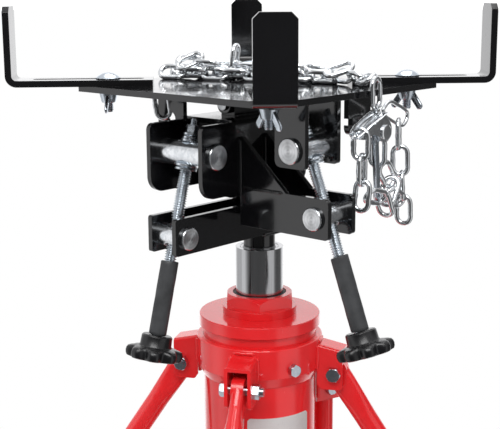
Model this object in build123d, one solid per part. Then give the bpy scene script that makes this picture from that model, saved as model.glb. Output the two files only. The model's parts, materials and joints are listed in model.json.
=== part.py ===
from build123d import *
import os
from math import cos, hypot, radians, sin

# Telescopic transmission jack: a foot-pumped two-stage hydraulic ram on a braced four-caster base,
# with a saddle on top that swivels and tilts about two crossed axes, each tilt set by a hand screw.
# Millimetres. +Z is up and the origin is on the floor, under the ram axis.
# The saddle's sides lie along X and Y. The base is turned about Z against the saddle.

# ---------------------------------------------------------------- driving dimensions
SADDLE_TOP = 955.0          # top face of the saddle plate above the floor
PLATE_SIDE = 280.0
PLATE_T = 6.5
STRAP_W = 40.0              # flat bar of the corner brackets
STRAP_T = 7.0
SHEET_T = 5.5               # side plates, arms and lugs of the head
RUNNING_GAP = 0.05          # radial clearance of a shaft that turns in its hole

BOLT_CIRCLE_R = 163.8       # corner bolts, measured along the plate's diagonals
CORNER_BOLT_R = 5.0
DOME_R = 13.3                # carriage bolt heads
DOME_H = 6.8
CORNERS = {                 # corner name: (direction of the diagonal in degrees from +X, reach)
    "front_left": (225.0, 271.7),
    "front_right": (315.0, 252.0),
    "rear_right": (45.0, 257.0),
    "rear_left": (135.0, 271.0),
}
BRACKET_ARM = 157.0
BRACKET_H = 85.0
BRACKET_BEND_R = 12.0
BRACKET_SLOT_IN = 10.0      # metal left at the inner end of the slot
BRACKET_SLOT_OUT = 27.0     # and at the bend

CHANNEL_W = 79.0            # outside width of the tilt cradle
CHANNEL_TOP = SADDLE_TOP - 30.5
CHANNEL_H = 76.5
CHANNEL_FRONT = -130.0
CHANNEL_FAR_FRONT = -132.0  # the far side plate reaches a little further
CHANNEL_BACK = 34.0
CHANNEL_WEB_FRONT = -80.0
TILT_AXIS_Z = SADDLE_TOP - 62.0      # front tilt, about X
HINGE_AXIS_Z = SADDLE_TOP - 18.5     # side tilt, about Y
TILT_PIN_R = 8.0
HINGE_PIN_R = 6.0
HINGE_BARREL_R = 9.5

YOKE_W = 40.6               # outside width of the yoke's two side plates
YOKE_ARM_FRONT = -150.0
YOKE_ARM_TOP = SADDLE_TOP - 126.0
YOKE_ARM_H = 38.5
POST_R = 18.0
POST_NECK_R = 15.0

SIDE_MID_Y = -51.75         # plane of the side tilt screw
SIDE_ARM_W = 44.5
SIDE_ARM_END = 156.0
SIDE_ARM_TOP = SADDLE_TOP - 99.5
SIDE_ARM_H = 41.0
GUSSET_RISE = 52.0
GUSSET_RUN = 62.0
LUG_W = 56.5
LUG_X = (92.0, 131.5)
LUG_BOTTOM = SADDLE_TOP - 72.0

UPPER_TRUNNION_R = 13.2
LOWER_TRUNNION_R = 11.8
TRUNNION_PROUD = 4.0
FRONT_UPPER = (0.0, -110.0, SADDLE_TOP - 64.5)
FRONT_LOWER = (0.0, -132.5, SADDLE_TOP - 148.0)
SIDE_UPPER = (113.0, SIDE_MID_Y, SADDLE_TOP - 54.5)
SIDE_LOWER = (138.0, SIDE_MID_Y, SADDLE_TOP - 120.5)

SCREW_R = 6.35              # half-inch threaded rod
SCREW_ABOVE = 38.0          # rod above the upper trunnion's axis
SCREW_STUD_R = 3.0          # its thin upper end
SLEEVE_START = 113.0        # distances down the rod from the upper trunnion's axis
SLEEVE_L = 77.0
SLEEVE_R = 9.2
KNOB_HUB_R = 16.0
KNOB_HUB_L = 13.0
KNOB_R = 30.0
KNOB_RIM_L = 13.0
KNOB_LOBES = 8
SPOT_FACE = 11.4            # distance of the trunnion's flats from its axis
OPEN_HOLE_R = 8.5           # lower trunnion hole, wide enough for the rod at every tilt

RAM_TOP = SADDLE_TOP - 182.2
RAM_OUTER_R = 26.8
RAM_BORE_R = 21.0
RAM_INNER_R = 18.9
RAM_OUTER_BOTTOM = 197.0
RAM_INNER_BOTTOM = 207.0
GLAND_NUT_TOP = SADDLE_TOP - 235.0
GLAND_NUT_FLATS = 73.0
GLAND_NUT_TURN = 11.7
CAP_TOP = SADDLE_TOP - 258.4
CAP_R = 68.5
CAP_T = 13.6
COLLAR_TOP = SADDLE_TOP - 283.0
COLLAR_BOTTOM = SADDLE_TOP - 328.4
COLLAR_R = 71.5
RESERVOIR_R = 64.0
RESERVOIR_WALL = 3.5
CYLINDER_R = 38.0
CYLINDER_BORE_R = 30.0

BASE_TURN = 27.5            # front leg, degrees from -Y towards +X
LEG_NAMES = ("front", "right", "rear", "left")
BASE_HALF = 75.0            # half width of the octagonal base block
BASE_BOTTOM = 105.0
BASE_TOP = 165.0
LEG_W = 50.0
LEG_BOTTOM = 112.0
LEG_TOP = 142.0
LEG_END = 472.0
LEG_WALL = 3.0
BRACE_R = 12.5
BRACE_TOP_R = 89.0          # radius and height of the brace's upper bolt
BRACE_TOP_Z = SADDLE_TOP - 322.0
BRACE_FOOT_R = 394.0        # and of its lower bolt
BRACE_FOOT_Z = 170.0
BRACE_FLAT_T = 14.0         # flattened ends, thickness along the bolt
BRACE_BOLT_R = 5.0
CLEVIS_W = 30.0
CLEVIS_WALL = 4.0

CASTER_R = 440.0            # radius of the swivel axes
WHEEL_R = 38.0
WHEEL_W = 26.0
CASTER_TRAIL = 24.0
AXLE_R = 4.0

PUMP_TURN = BASE_TURN + 135.0
STAY_R = 88.5               # radius of the vertical stay tube's axis
STAY_TUBE_R = 12.0
STAY_TOP = SADDLE_TOP - 370.0
PEDAL_AXIS_R = 122.0
PEDAL_AXIS_Z = 226.0
PLUNGER_AT_R = 162.0
PLUNGER_R = 10.0
PUMP_TOP = 150.0
PUMP_END = 198.0
VALVE_R = 180.0
VALVE_Z = 126.0


SET_BOLT_AT = (Rot(0, 0, BASE_TURN + 45 - 90) * Pos(COLLAR_R, 0, SADDLE_TOP - 308)
               * Rot(0, 90, 0))      # the collar's small bolt, +Z outwards


# ---------------------------------------------------------------- small helpers
def block(x, y, z):
    """A box between two corners, given as three (low, high) pairs."""
    size = [b - a for a, b in (x, y, z)]
    middle = [(a + b) / 2 for a, b in (x, y, z)]
    return Pos(*middle) * Box(*size)


def upright(r, low, high, at=(0.0, 0.0)):
    """A vertical cylinder."""
    return Pos(at[0], at[1], (low + high) / 2) * Cylinder(r, high - low)


def ring(outer, inner, low, high, at=(0.0, 0.0)):
    """A vertical tube."""
    return upright(outer, low, high, at) - upright(inner, low - 1, high + 1, at)


def rod(r, start, end):
    """A cylinder between two points."""
    axis = Vector(*end) - Vector(*start)
    return Plane(origin=start, z_dir=axis) * Pos(0, 0, axis.length / 2) * Cylinder(r, axis.length)


def hexagon(flats, r_hole, low, high):
    """A vertical hexagonal nut, its corners turned off at 45 degrees on the top face."""
    nut = extrude(Pos(0, 0, low) * RegularPolygon(flats / 2, 6, major_radius=False), high - low)
    cone = Cone(flats / 2 + high - low, flats / 2, high - low)
    nut = nut & (Pos(0, 0, (low + high) / 2) * cone)
    if r_hole:
        nut -= upright(r_hole, low - 1, high + 1)
    return nut


def plate_yz(outline, x_low, thickness):
    """A plate that faces X, from its outline as a sketch drawn in (Y, Z)."""
    return extrude(Plane(origin=(x_low, 0, 0), x_dir=(0, 1, 0), z_dir=(1, 0, 0)) * outline, thickness)


def plate_xz(outline, y_low, thickness):
    """A plate that faces Y, from its outline as a sketch drawn in (X, Z)."""
    plane = Plane(origin=(0, y_low + thickness, 0), x_dir=(1, 0, 0), z_dir=(0, -1, 0))
    return extrude(plane * outline, thickness)


def outline_of(*points):
    """A flat sketch through corner points, facing up whichever way round they are listed."""
    face = Polygon(*points, align=None).face()
    return Sketch() + (face if face.normal_at().Z > 0 else -face)


def rectangle(low, high):
    """A rectangle sketch between two corners."""
    size = [b - a for a, b in zip(low, high)]
    return Pos((low[0] + high[0]) / 2, (low[1] + high[1]) / 2) * Rectangle(*size)


def rounded(sketch, radii):
    """Rounds each corner of a sketch whose nearest point is listed, with its own radius."""
    for point, radius in radii:
        corner = sketch.vertices().sort_by_distance(Vector(*point, 0))[0]
        sketch = fillet(corner, radius)
    return sketch


def turned(angle, shape):
    """Turns a shape built along +X so that it points at an angle from -Y towards +X."""
    return Rot(0, 0, angle - 90) * shape


def around_base(shape):
    """Four copies of a shape built along +X, one on each leg of the base."""
    return [turned(BASE_TURN + 90 * k, shape) for k in range(4)]


def save(node, *shapes):
    """Writes one node as separate solids."""
    solids = [solid for shape in shapes for solid in shape.solids()]
    export_step(solids[0] if len(solids) == 1 else Compound(children=solids), f"parts/{node}.step")


# ---------------------------------------------------------------- saddle
def saddle_plate():
    half = PLATE_SIDE / 2
    plate = block((-half, half), (-half, half), (SADDLE_TOP - PLATE_T, SADDLE_TOP))
    plate = chamfer(plate.edges().filter_by(Axis.Z), 3)
    reach = BOLT_CIRCLE_R * cos(radians(45))
    for x in (-reach, reach):
        for y in (-reach, reach):
            plate -= upright(CORNER_BOLT_R + 0.4, SADDLE_TOP - 10, SADDLE_TOP + 5, (x, y))
    for side in (-1, 1):
        slot = Pos(8 * side, 70 * side, SADDLE_TOP - PLATE_T) * extrude(SlotOverall(16, 8), PLATE_T)
        plate -= slot
    return plate


def bracket(turn, reach):
    """An L-shaped flat bar with a long slot, standing on the plate along one diagonal."""
    inner = reach - BRACKET_ARM
    foot, top = SADDLE_TOP, SADDLE_TOP + BRACKET_H
    outline = outline_of((inner, foot), (reach, foot), (reach, top), (reach - STRAP_T, top),
                      (reach - STRAP_T, foot + STRAP_T), (inner, foot + STRAP_T))
    bend = [((reach, foot), BRACKET_BEND_R),
            ((reach - STRAP_T, foot + STRAP_T), BRACKET_BEND_R - STRAP_T)]
    bar = plate_xz(rounded(outline, bend), -STRAP_W / 2, STRAP_W)
    corners = bar.edges().filter_by(Axis.X).group_by(Axis.Z)[-1]
    bar = chamfer(corners, 6)
    slot_low, slot_high = inner + BRACKET_SLOT_IN, reach - BRACKET_SLOT_OUT
    slot = SlotOverall(slot_high - slot_low, 2 * CORNER_BOLT_R + 1.0)
    cut = Pos((slot_low + slot_high) / 2, 0, foot) * extrude(slot, STRAP_T + 1)
    return Rot(0, 0, turn) * (bar - cut)


def corner_at(turn):
    return (BOLT_CIRCLE_R * cos(radians(turn)), BOLT_CIRCLE_R * sin(radians(turn)))


def bracket_bolt(turn):
    """A carriage bolt, its dome on the bracket arm and its thread below the plate."""
    x, y = corner_at(turn)
    seat = SADDLE_TOP + STRAP_T
    ball = (DOME_R ** 2 + DOME_H ** 2) / (2 * DOME_H)
    dome = Pos(x, y, seat + DOME_H - ball) * Sphere(ball)
    dome = dome & upright(DOME_R, seat, seat + DOME_H, (x, y))
    return dome + upright(CORNER_BOLT_R, SADDLE_TOP - 29, seat, (x, y))


def wing_nut(turn, wings_along):
    """A hub and two raised wings on the corner bolt, hard against the underside of the plate."""
    x, y = corner_at(turn)
    top = SADDLE_TOP - PLATE_T - 0.2
    hub = Cone(8.0, 10.5, 12.0)
    wing = outline_of((5, -5), (10, -6), (19, -15), (22, -13), (19, -2), (11, 5), (5, 5))
    wing = extrude(Plane.XZ.offset(-1.6) * rounded(wing, [((19, -15), 1.4), ((22, -13), 1.4)]), 3.2)
    nut = hub + wing + Rot(0, 0, 180) * wing
    nut = Pos(x, y, top - 6) * Rot(0, 0, wings_along) * nut
    return nut - upright(CORNER_BOLT_R + RUNNING_GAP, top - 30, top + 1, (x, y))


def trunnion_lugs():
    """Two plates that hang from the saddle and carry the side screw's upper trunnion."""
    low, high = LUG_X
    outline = rectangle((low, LUG_BOTTOM), (high, SADDLE_TOP - PLATE_T))
    outline = rounded(outline, [((low, LUG_BOTTOM), 7), ((high, LUG_BOTTOM), 4)])
    hole = Pos(SIDE_UPPER[0], SIDE_UPPER[2]) * Circle(UPPER_TRUNNION_R + RUNNING_GAP)
    near = SIDE_MID_Y - LUG_W / 2
    far = SIDE_MID_Y + LUG_W / 2 - SHEET_T
    return [plate_xz(outline - hole, y, SHEET_T) for y in (near, far)]


def hinge_lugs():
    """Two ears under the plate that hang on the side tilt's pin."""
    top = SADDLE_TOP - PLATE_T
    outline = rectangle((-20, HINGE_AXIS_Z), (20, top))
    outline += Pos(0, HINGE_AXIS_Z) * Circle(HINGE_BARREL_R)
    outline -= Pos(0, HINGE_AXIS_Z) * Circle(HINGE_PIN_R + RUNNING_GAP)
    return [plate_xz(outline, y, 6.0) for y in (-56.0, 30.0)]


def chain_anchors():
    """A strap and a notched plate under the saddle, where the chain's ends are held."""
    top = SADDLE_TOP - PLATE_T
    strap = rectangle((-97, top - 46), (-57, top))
    strap = rounded(strap, [((-97, top - 46), 8), ((-57, top - 46), 8)])
    strap -= Pos(-77, top - 32) * Circle(7)
    hook = rectangle((-2, top - 40), (36, top))
    hook = rounded(hook, [((-2, top - 40), 8), ((36, top - 40), 10)])
    hook -= Pos(-2, top - 26) * Rectangle(14, 7)
    return [plate_xz(strap, -60.0, SHEET_T), plate_yz(hook, 119.0, 6.0)]


def chain_heap():
    """The chain lying on the plate, as one low solid between the bracket arms."""
    outline = Rot(0, 0, 22.9) * (Pos(-8, 36) * RectangleRounded(184, 60, 28))
    return Pos(0, 0, SADDLE_TOP + 0.2) * extrude(outline, 15.0)


# ---------------------------------------------------------------- chain tightener
BINDER_X = 146.0            # inner face of the tightener, just outside the plate's edge
BINDER_RIVET = (18.0, SADDLE_TOP - 42.0)


def binder_body():
    """The tightener's channel body with its rivet, hanging beside the plate's edge."""
    y, z = BINDER_RIVET
    channel = Pos(-3, SADDLE_TOP - 30) * Rot(0, 0, 23) * SlotOverall(66, 15)
    cheek = outline_of((y - 30, z + 2), (y - 4, z + 20), (y + 12, z + 8), (y + 8, z - 8), (y - 6, z - 9))
    outline = channel + cheek + Pos(y, z) * Circle(11)
    body = plate_yz(outline, BINDER_X, 3.0) + plate_yz(outline, BINDER_X + 9.0, 3.0)
    web = Pos(-5, SADDLE_TOP - 25.5) * Rot(0, 0, 23) * Rectangle(48, 3)
    body += plate_yz(web, BINDER_X, 12.0)
    body += plate_yz(Pos(y, z) * Circle(3.5), BINDER_X - 1, 14)
    return body + plate_yz(Pos(y, z) * Circle(7.5), BINDER_X + 12, 2.0)


def binder_lever():
    """The tightener's lever: an eye on the rivet and a narrow bar that hangs from it."""
    y, z = BINDER_RIVET
    outline = Pos(y, z) * Circle(8.0)
    outline += outline_of((y, z + 7), (y - 13, z + 2), (y - 14, z - 5), (y, z - 7))
    outline += outline_of((y - 14, z), (y - 7, z), (y - 2, z - 68), (y - 8, z - 68))
    outline -= Pos(y, z) * Circle(3.5 + RUNNING_GAP)
    return plate_yz(outline, BINDER_X + 3.6, 4.8)


def chain_strands():
    """The hanging runs of chain, each as a simple solid bar between two (Y, depth) points."""
    strands = []
    for start, end in (((-17, 52), (-17, 119)), ((33, 56), (38, 126)), ((50, 36), (66, 153))):
        top, low = [Vector(BINDER_X + 6, y, SADDLE_TOP - depth) for y, depth in (start, end)]
        bar = Box(12, 12, (low - top).length)
        bar = fillet(bar.edges().filter_by(Axis.Z), 4)
        strands.append(Plane(origin=(top + low) / 2, z_dir=low - top, x_dir=(1, 0, 0)) * bar)
    return strands


# ---------------------------------------------------------------- cradle
def channel_side(x_low, front, drop):
    """One side plate of the cradle; ahead of the web its top edge is a little lower."""
    low, high = CHANNEL_TOP - CHANNEL_H, CHANNEL_TOP
    side = rectangle((front, low), (CHANNEL_BACK, high))
    side -= rectangle((front - 1, high - drop), (CHANNEL_WEB_FRONT - 3, high + 1))
    side = rounded(side, [((front, low), 17), ((CHANNEL_BACK, low), 12), ((front, high - drop), 7)])
    side -= Pos(FRONT_UPPER[1], FRONT_UPPER[2]) * Circle(UPPER_TRUNNION_R + RUNNING_GAP)
    side -= Pos(0, TILT_AXIS_Z) * Circle(TILT_PIN_R + RUNNING_GAP)
    return plate_yz(side, x_low, SHEET_T)


def cradle_channel():
    """An inverted channel: two side plates and a top web, cut away at the front for the screw."""
    high = CHANNEL_TOP
    half = CHANNEL_W / 2
    channel = channel_side(-half, CHANNEL_FAR_FRONT, 3.5)
    channel += channel_side(half - SHEET_T, CHANNEL_FRONT, 1.0)
    channel += block((-half, half), (CHANNEL_WEB_FRONT, CHANNEL_BACK), (high - SHEET_T, high))
    long_edges = channel.edges().filter_by(Axis.Y).group_by(Axis.Z)[-1]
    outer = long_edges.filter_by(lambda e: abs(abs(e.center().X) - half) < 0.1 and e.length > 100)
    return fillet(outer, 4.5)


def cradle_doubler():
    """A doubling plate behind the channel's near side, between the trunnion and the pivot."""
    low, front = CHANNEL_TOP - CHANNEL_H - 4, FRONT_UPPER[1] + UPPER_TRUNNION_R + 4
    outline = rectangle((front, low), (-24, CHANNEL_TOP - 14))
    outline = rounded(outline, [((front, low), 12), ((front, CHANNEL_TOP), 6)])
    return plate_yz(outline, CHANNEL_W / 2 - 2 * SHEET_T, SHEET_T)


def cradle_arms():
    """Two flat arms and their gussets on the channel's near side, for the side screw's foot."""
    root = CHANNEL_W / 2
    low, high = SIDE_ARM_TOP - SIDE_ARM_H, SIDE_ARM_TOP
    arm = rectangle((root, low), (SIDE_ARM_END, high))
    arm = rounded(arm, [((SIDE_ARM_END, low), 4), ((SIDE_ARM_END, high), 6)])
    arm -= Pos(SIDE_LOWER[0], SIDE_LOWER[2]) * Circle(LOWER_TRUNNION_R + RUNNING_GAP)
    gusset = outline_of((root, high), (root + GUSSET_RUN, high), (root + 3, high + GUSSET_RISE),
                     (root, high + GUSSET_RISE))
    near = SIDE_MID_Y - SIDE_ARM_W / 2
    far = SIDE_MID_Y + SIDE_ARM_W / 2 - SHEET_T
    return [plate_xz(shape, y, SHEET_T) for y in (near, far) for shape in (arm, gusset)]


def hinge_barrel():
    """The side tilt's barrel, on a foot that is welded to the channel's web."""
    outline = rectangle((-HINGE_BARREL_R, CHANNEL_TOP), (HINGE_BARREL_R, HINGE_AXIS_Z))
    outline += Pos(0, HINGE_AXIS_Z) * Circle(HINGE_BARREL_R)
    outline -= Pos(0, HINGE_AXIS_Z) * Circle(HINGE_PIN_R)
    return plate_xz(outline, -49.5, 79.0)


# ---------------------------------------------------------------- yoke
def yoke_side(x_low):
    """One L-shaped side of the yoke: a long arm forwards and a round-topped cheek."""
    low = YOKE_ARM_TOP - YOKE_ARM_H
    outline = rectangle((YOKE_ARM_FRONT, low), (22, YOKE_ARM_TOP))
    outline += rectangle((-22, YOKE_ARM_TOP - 5), (22, TILT_AXIS_Z))
    outline += Pos(0, TILT_AXIS_Z) * Circle(22)
    outline = rounded(outline, [((YOKE_ARM_FRONT, low), 3), ((YOKE_ARM_FRONT, YOKE_ARM_TOP), 3)])
    outline -= Pos(FRONT_LOWER[1], FRONT_LOWER[2]) * Circle(LOWER_TRUNNION_R + RUNNING_GAP)
    outline -= Pos(0, TILT_AXIS_Z) * Circle(TILT_PIN_R)
    return plate_yz(outline, x_low, SHEET_T)


def yoke_post():
    """The round post that the head turns on, its spigot down inside the inner ram."""
    shoulder = YOKE_ARM_TOP - YOKE_ARM_H - 0.1
    post = upright(YOKE_W / 2 - SHEET_T, shoulder - 1, YOKE_ARM_TOP + 12)
    post += upright(POST_R, RAM_TOP + 1.2, shoulder)
    return post + upright(POST_NECK_R - 4, RAM_TOP - 40, RAM_TOP + 2)


def tilt_pivot_pin():
    """The front tilt's pin with a spacer tube on each side of the yoke."""
    half = CHANNEL_W / 2
    pieces = [rod(TILT_PIN_R, (-half - 4, 0, TILT_AXIS_Z), (half + 4, 0, TILT_AXIS_Z))]
    spacer = Pos(0, TILT_AXIS_Z) * (Circle(13) - Circle(TILT_PIN_R))
    low, high = YOKE_W / 2, half - 2 * SHEET_T - 0.2
    pieces.append(plate_yz(spacer, low, high - low))
    pieces.append(plate_yz(spacer, -half + SHEET_T + 0.2, half - SHEET_T - 0.2 - low))
    return pieces


# ---------------------------------------------------------------- tilt screws
def along(upper, lower):
    """The frame of one tilt screw: origin on the upper trunnion's axis, +Z down the rod."""
    return Plane(origin=upper, z_dir=Vector(*lower) - Vector(*upper), x_dir=(0, 1, 0)
                 if upper[0] else (1, 0, 0))


def trunnion(upper, lower, centre, axis, r, half_length, hole_r, flats):
    """A cross-drilled round bar; flats give the rod's washers a seat."""
    ends = [tuple(c + s * half_length * a for c, a in zip(centre, axis)) for s in (-1, 1)]
    bar = rod(r, *ends)
    bar = chamfer(bar.edges().filter_by(GeomType.CIRCLE), 0.8)
    frame = along(upper, lower)
    depth = frame.to_local_coords(Vector(*centre)).Z
    bar -= frame * Pos(0, 0, depth) * Cylinder(hole_r, 4 * r)
    if flats:
        for side in (-1, 1):
            bar -= frame * Pos(0, 0, depth + side * (SPOT_FACE + 5)) * Cylinder(13.2, 10)
    return bar


def screw_rod(upper, lower):
    """The threaded rod, thinner above its washers, with its top nut and washers as separate solids."""
    frame = along(upper, lower)
    end = SLEEVE_START + SLEEVE_L + KNOB_HUB_L + 4
    shoulder = SPOT_FACE + 9.7
    shaft = upright(SCREW_R, -shoulder, end) + upright(SCREW_STUD_R, -SCREW_ABOVE, -shoulder + 2)
    pieces = [frame * shaft]
    for start, thick, r in ((-SPOT_FACE - 3.1, 3.0, 9.8), (-SPOT_FACE - 6.4, 3.0, 9.4),
                            (-SPOT_FACE - 9.6, 2.8, 9.0), (SPOT_FACE + 0.1, 3.0, 12.0),
                            (SPOT_FACE + 3.4, 3.0, 11.6)):
        pieces.append(frame * ring(r, SCREW_R, start, start + thick))
    nut = Rot(180, 0, 0) * hexagon(12.5, SCREW_STUD_R, shoulder + 0.1, SCREW_ABOVE - 8)
    pieces.append(frame * nut)
    return pieces


def screw_sleeve(upper, lower):
    return along(upper, lower) * ring(SLEEVE_R, SCREW_R, SLEEVE_START, SLEEVE_START + SLEEVE_L)


def screw_knob(upper, lower):
    """A moulded star knob: a round hub over a rim with eight shallow lobes."""
    start = SLEEVE_START + SLEEVE_L + 0.2
    rim_start = start + KNOB_HUB_L
    rim_end = rim_start + KNOB_RIM_L
    knob = upright(KNOB_HUB_R, start, rim_start + 1)
    knob = fillet(knob.edges().group_by(Axis.Z)[0], 1.5)
    rim = Circle(KNOB_R)
    for k in range(KNOB_LOBES):
        angle = radians(360 / KNOB_LOBES * (k + 0.5))
        rim -= Pos((KNOB_R + 4) * cos(angle), (KNOB_R + 4) * sin(angle)) * Circle(7.5)
    rim = fillet(rim.vertices(), 2.0)
    rim = extrude(Pos(0, 0, rim_start) * rim, KNOB_RIM_L)
    knob += rim & (Pos(0, 0, rim_start + KNOB_RIM_L / 2) * Cone(KNOB_R + 5, KNOB_R - 5, KNOB_RIM_L))
    knob -= upright(SCREW_R, start - 1, SLEEVE_START + SLEEVE_L + KNOB_HUB_L + 4)
    knob -= Pos(0, 0, rim_end) * Cylinder(11, 4)
    return along(upper, lower) * knob


# ---------------------------------------------------------------- ram and its housing
def ram_outer_stage():
    """The large ram, a tube with a ring gland at its mouth for the small ram."""
    tube = ring(RAM_OUTER_R, RAM_BORE_R, RAM_OUTER_BOTTOM, RAM_TOP)
    tube += ring(CYLINDER_BORE_R - RUNNING_GAP, RAM_BORE_R, RAM_OUTER_BOTTOM, RAM_OUTER_BOTTOM + 28)
    tube = chamfer(tube.edges().filter_by(GeomType.CIRCLE).sort_by(Axis.Z)[-1], 1.5)
    gland = ring(RAM_BORE_R, RAM_INNER_R + RUNNING_GAP, RAM_TOP - 22, RAM_TOP - 0.5)
    return [tube, gland]


def ram_inner_stage():
    """The small ram, solid but for the socket that the head's spigot turns in."""
    piston = upright(RAM_BORE_R - RUNNING_GAP, RAM_INNER_BOTTOM, RAM_INNER_BOTTOM + 22)
    body = upright(RAM_INNER_R, RAM_INNER_BOTTOM, RAM_TOP + 1.0) + piston
    return body - upright(POST_NECK_R - 4 + RUNNING_GAP, RAM_TOP - 42, RAM_TOP + 3)


def gland_nut():
    """The big hexagonal gland nut: a chamfered hexagon over a round flange."""
    flange_top = CAP_TOP + 8.5
    nut = Rot(0, 0, GLAND_NUT_TURN) * hexagon(GLAND_NUT_FLATS, 0, flange_top, GLAND_NUT_TOP)
    nut += upright(42.0, CAP_TOP, flange_top) + upright(35, CAP_TOP - 40, CAP_TOP)
    nut -= upright(RAM_OUTER_R + 3.5, GLAND_NUT_TOP - 9, GLAND_NUT_TOP + 1)
    return nut - upright(RAM_OUTER_R + 0.5, CAP_TOP - 50, GLAND_NUT_TOP)


def top_cap():
    """The cap disc with its narrower neck, screwed into the reservoir's mouth."""
    cap = upright(CAP_R, CAP_TOP - CAP_T, CAP_TOP)
    cap = chamfer(cap.edges(), 0.8)
    cap += upright(RESERVOIR_R + 0.5, COLLAR_TOP - 6, CAP_TOP - CAP_T)
    cap += upright(RESERVOIR_R - RESERVOIR_WALL, COLLAR_TOP - 34, COLLAR_TOP - 5)
    cap -= upright(CYLINDER_R, COLLAR_TOP - 40, COLLAR_TOP - 20)
    return cap - upright(35, COLLAR_TOP - 41, CAP_TOP + 1)


def collar_ring():
    """The collar that carries the brace clevises, bevelled along its lower edge."""
    collar = upright(COLLAR_R, COLLAR_BOTTOM, COLLAR_TOP)
    collar = chamfer(collar.edges().group_by(Axis.Z)[0], 12, 6.5)
    collar = fillet(collar.edges().group_by(Axis.Z)[-1], 2)
    collar -= upright(RESERVOIR_R, COLLAR_BOTTOM - 1, COLLAR_TOP - 6)
    collar -= SET_BOLT_AT * upright(3.2, -20, 5)
    return collar - upright(RESERVOIR_R + 0.6, COLLAR_TOP - 8, COLLAR_TOP + 1)


def clevis():
    """A folded box lug, open below and outwards, that holds a brace's upper end."""
    half = CLEVIS_W / 2
    top, low = SADDLE_TOP - 295.0, SADDLE_TOP - 341.0
    outline = outline_of((62, top + 8), (99, top), (99, low), (74, low), (62, low + 18))
    lug = plate_xz(rounded(outline, [((99, low), 5), ((74, low), 4)]), -half, CLEVIS_W)
    upper = lug.faces().sort_by(Axis.Z)[-1]
    lug = fillet([edge for edge in upper.edges() if edge.length > CLEVIS_W + 5], 3.5)
    inner = rectangle((60, low - 5), (120, top - CLEVIS_WALL))
    lug -= plate_xz(inner, -half + CLEVIS_WALL, CLEVIS_W - 2 * CLEVIS_WALL)
    lug -= upright(COLLAR_R, low - 1, top + 20)
    bolt_hole = Pos(BRACE_TOP_R, BRACE_TOP_Z) * Circle(BRACE_BOLT_R + 0.3)
    return lug - plate_xz(bolt_hole, -half - 1, CLEVIS_W + 2)


def stay_lug():
    """The block under the collar that the vertical stay tube is bolted to."""
    lug = block((COLLAR_R - 4, STAY_R + 16), (-15, 15), (STAY_TOP - 8, COLLAR_BOTTOM + 14))
    lug -= upright(COLLAR_R, STAY_TOP - 9, COLLAR_BOTTOM + 15)
    return lug - upright(STAY_TUBE_R, STAY_TOP - 20, STAY_TOP + 18, (STAY_R, 0)) - stay_bolt_hole()


def stay_bolt_hole():
    return Pos(STAY_R, 0, STAY_TOP + 6) * Rot(90, 0, 0) * Cylinder(4.3, 40)


# ---------------------------------------------------------------- base
def base_block():
    """An octagonal block: four faces for the legs and one of those between for the pump."""
    side = (-BASE_HALF, BASE_HALF)
    square = block(side, side, (BASE_BOTTOM, BASE_TOP))
    octagon = Rot(0, 0, BASE_TURN) * (square & (Rot(0, 0, 45) * square))
    octagon = chamfer(octagon.edges().group_by(Axis.Z)[-1], 3)
    return octagon - upright(CYLINDER_R, BASE_TOP - 20, BASE_TOP + 1)


def base_leg():
    """A box-section leg, closed at its outer end, with two ears for the brace's foot."""
    half = LEG_W / 2
    leg = block((BASE_HALF, LEG_END), (-half, half), (LEG_BOTTOM, LEG_TOP))
    leg = fillet(leg.edges().filter_by(Axis.X), 4)
    leg -= block((BASE_HALF - 1, LEG_END - LEG_WALL), (-half + LEG_WALL, half - LEG_WALL),
                 (LEG_BOTTOM + LEG_WALL, LEG_TOP - LEG_WALL))
    ear = rectangle((BRACE_FOOT_R - 18, LEG_TOP), (BRACE_FOOT_R + 18, BRACE_FOOT_Z))
    ear += Pos(BRACE_FOOT_R, BRACE_FOOT_Z) * Circle(15)
    ear -= Pos(BRACE_FOOT_R, BRACE_FOOT_Z) * Circle(BRACE_BOLT_R + 0.3)
    gap = BRACE_FLAT_T / 2 + 0.5
    return leg + plate_xz(ear, gap, 5) + plate_xz(ear, -gap - 5, 5)


def brace():
    """A round tube flattened at both ends, built along +X at its real slope."""
    top, foot = Vector(BRACE_TOP_R, 0, BRACE_TOP_Z), Vector(BRACE_FOOT_R, 0, BRACE_FOOT_Z)
    length = (foot - top).length
    frame = Plane(origin=top, z_dir=foot - top, x_dir=(0, 1, 0))
    flat, swell = 20.0, 62.0
    half_flat, wide = BRACE_FLAT_T / 2, 14.0
    tube = Pos(0, 0, length / 2) * Cylinder(BRACE_R, length - 2 * swell)
    end = loft([Pos(0, 0, flat) * RectangleRounded(2 * half_flat, 2 * wide, half_flat - 0.5),
                Pos(0, 0, swell) * Circle(BRACE_R)])
    end += extrude(RectangleRounded(2 * half_flat, 2 * wide, half_flat - 0.5), flat)
    end += Rot(0, 90, 0) * Cylinder(wide, 2 * half_flat)
    tube += end + Pos(0, 0, length) * Rot(180, 0, 0) * end
    tube -= Pos(0, 0, length / 2) * Cylinder(BRACE_R - 2.5, length - 2 * swell - 4)
    tube -= Pos(0, 0, length - swell - 12) * Rot(0, 90, 0) * Cylinder(2, 4 * BRACE_R)
    for z in (0, length):
        tube -= Pos(0, 0, z) * Rot(0, 90, 0) * Cylinder(BRACE_BOLT_R + 0.3, 4 * BRACE_R)
    return frame * tube


def cross_bolt(r, z, half_grip):
    """A hexagon bolt and its nut across a brace end, as two solids."""
    head = hexagon(15.0, 0, half_grip, half_grip + 6.5)
    shank = upright(BRACE_BOLT_R, -half_grip - 12, half_grip)
    nut = Rot(180, 0, 0) * hexagon(15.0, BRACE_BOLT_R, half_grip, half_grip + 8)
    place = Pos(r, 0, z) * Rot(90, 0, 0)
    return [place * (head + shank), place * nut]


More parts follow.
